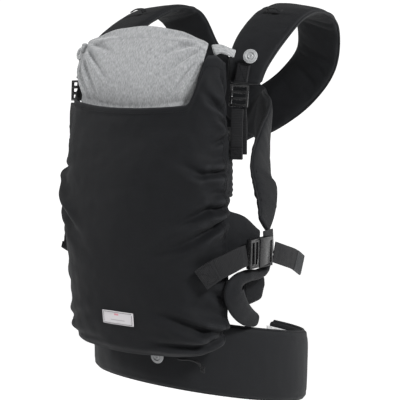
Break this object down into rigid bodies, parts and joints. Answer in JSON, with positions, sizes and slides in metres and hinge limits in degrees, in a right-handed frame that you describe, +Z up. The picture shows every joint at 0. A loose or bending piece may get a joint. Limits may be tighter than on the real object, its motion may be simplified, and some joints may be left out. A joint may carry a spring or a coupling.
{
  "type": "soft baby carrier",
  "caption": "Soft buckle carrier as worn: padded waist belt, bulging fabric body panel, hood and padded shoulder straps that cross on the back.",
  "frame": {"origin": "centre of the waist ring, at half the belt's height, on the wearer's body axis", "axes": "+Z up along the wearer's body, -Y to the front, where the panel is, +X to the wearer's left"},
  "size_m": [0.3356, 0.4222, 0.5946],
  "materials": {
    "black_twill": "matt cotton twill",
    "black_webbing": "ribbed polyester webbing",
    "black_plastic": "satin acetal",
    "grey_jersey": "melange jersey",
    "grey_button": "matt moulded plastic",
    "light_lining": "pale spacer mesh",
    "label": "woven label",
    "cord": "braided cord"
  },
  "bodies": {
    "carrier": {"waist_belt_pad": "black_twill", "main_panel": "black_twill", "waist_belt_lining": "light_lining", "woven_label": "label", "belt_button": "grey_button", "waist_webbing_left": "black_webbing", "drawcord": "cord", "drawcord_knot": "cord", "waist_buckle_socket": "black_plastic", "side_hem_left": "black_twill", "side_wing_left": "black_twill", "leg_rim_left": "black_twill", "hip_pad_left": "black_twill", "shoulder_strap_left": "black_twill", "strap_loop_left": "black_webbing", "stitched_tab_left": "black_webbing", "panel_webbing_left": "black_webbing", "strap_end_webbing_left": "black_webbing", "strap_tail_left": "black_webbing", "side_buckle_left_socket": "black_plastic", "hood_button_left": "grey_button", "side_hem_right": "black_twill", "side_wing_right": "black_twill", "leg_rim_right": "black_twill", "hip_pad_right": "black_twill", "shoulder_strap_right": "black_twill", "strap_loop_right": "black_webbing", "stitched_tab_right": "black_webbing", "panel_webbing_right": "black_webbing", "strap_end_webbing_right": "black_webbing", "strap_tail_right": "black_webbing", "side_buckle_right_socket": "black_plastic", "hood_button_right": "grey_button"},
    "hood": {"hood": "grey_jersey", "hood_tie_left": "grey_jersey", "hood_tie_right": "grey_jersey"},
    "waist_plug": {"waist_buckle_plug": "black_plastic", "waist_webbing_right": "black_webbing"},
    "waist_prong_upper": {"waist_buckle_prong_upper": "black_plastic"},
    "waist_prong_lower": {"waist_buckle_prong_lower": "black_plastic"},
    "chest_lock_left": {"ladder_lock_left": "black_plastic", "adjuster_webbing_left": "black_webbing", "adjuster_fold_left": "black_webbing"},
    "side_plug_left": {"side_buckle_left_plug": "black_plastic", "side_webbing_left": "black_webbing", "side_webbing_fold_left": "black_webbing"},
    "side_prong_upper_left": {"side_buckle_left_prong_upper": "black_plastic"},
    "side_prong_lower_left": {"side_buckle_left_prong_lower": "black_plastic"},
    "chest_lock_right": {"ladder_lock_right": "black_plastic", "adjuster_webbing_right": "black_webbing", "adjuster_fold_right": "black_webbing"},
    "side_plug_right": {"side_buckle_right_plug": "black_plastic", "side_webbing_right": "black_webbing", "side_webbing_fold_right": "black_webbing"},
    "side_prong_upper_right": {"side_buckle_right_prong_upper": "black_plastic"},
    "side_prong_lower_right": {"side_buckle_right_prong_lower": "black_plastic"}
  },
  "joints": [
    {"name": "hood_fold", "type": "hinge", "parent": "carrier", "child": "hood", "pos_m": [0, -0.176, 0.378], "axis": [1, 0, 0], "range_deg": [0, 90]},
    {"name": "waist_release", "type": "slide", "parent": "carrier", "child": "waist_plug", "axis": [-1, 0, 0], "range_m": [0, 0.032]},
    {"name": "waist_squeeze", "type": "hinge", "parent": "waist_plug", "child": "waist_prong_upper", "pos_m": [0.0008, 0.156, -0.0127], "axis": [0, 1, 0], "range_deg": [0, 8], "stiffness_Nm_per_rad": 0.05},
    {"name": "waist_squeeze_lower", "type": "hinge", "parent": "waist_plug", "child": "waist_prong_lower", "pos_m": [0.0008, 0.156, -0.0497], "axis": [0, 1, 0], "range_deg": [-8, 0], "stiffness_Nm_per_rad": 0.05},
    {"name": "side_release_left", "type": "slide", "parent": "carrier", "child": "side_plug_left", "axis": [0, -0.9992, 0.04], "range_m": [0, 0.024]},
    {"name": "side_left_squeeze", "type": "hinge", "parent": "side_plug_left", "child": "side_prong_upper_left", "pos_m": [0.16, -0.09962, 0.18846], "axis": [-1, 0, 0], "range_deg": [0, 8], "stiffness_Nm_per_rad": 0.05},
    {"name": "side_left_squeeze_lower", "type": "hinge", "parent": "side_plug_left", "child": "side_prong_lower_left", "pos_m": [0.16, -0.10078, 0.15948], "axis": [-1, 0, 0], "range_deg": [-8, 0], "stiffness_Nm_per_rad": 0.05},
    {"name": "lock_tilt_left", "type": "hinge", "parent": "carrier", "child": "chest_lock_left", "pos_m": [0.13932, -0.11541, 0.40592], "axis": [-0.9539, -0.2961, 0.0487], "range_deg": [0, 40]},
    {"name": "side_release_right", "type": "slide", "parent": "carrier", "child": "side_plug_right", "axis": [0, -0.9992, 0.04], "range_m": [0, 0.024]},
    {"name": "side_right_squeeze", "type": "hinge", "parent": "side_plug_right", "child": "side_prong_upper_right", "pos_m": [-0.16, -0.07362, 0.18846], "axis": [-1, 0, 0], "range_deg": [0, 8], "stiffness_Nm_per_rad": 0.05},
    {"name": "side_right_squeeze_lower", "type": "hinge", "parent": "side_plug_right", "child": "side_prong_lower_right", "pos_m": [-0.16, -0.07478, 0.15948], "axis": [-1, 0, 0], "range_deg": [-8, 0], "stiffness_Nm_per_rad": 0.05},
    {"name": "lock_tilt_right", "type": "hinge", "parent": "carrier", "child": "chest_lock_right", "pos_m": [-0.13932, -0.11541, 0.40592], "axis": [-0.9539, 0.2961, -0.0487], "range_deg": [0, 40]}
  ],
  "couplings": [
    {"joint": "waist_squeeze_lower", "follows": "waist_squeeze", "ratio": -1},
    {"joint": "side_left_squeeze_lower", "follows": "side_left_squeeze", "ratio": -1},
    {"joint": "side_right_squeeze_lower", "follows": "side_right_squeeze", "ratio": -1}
  ]
}
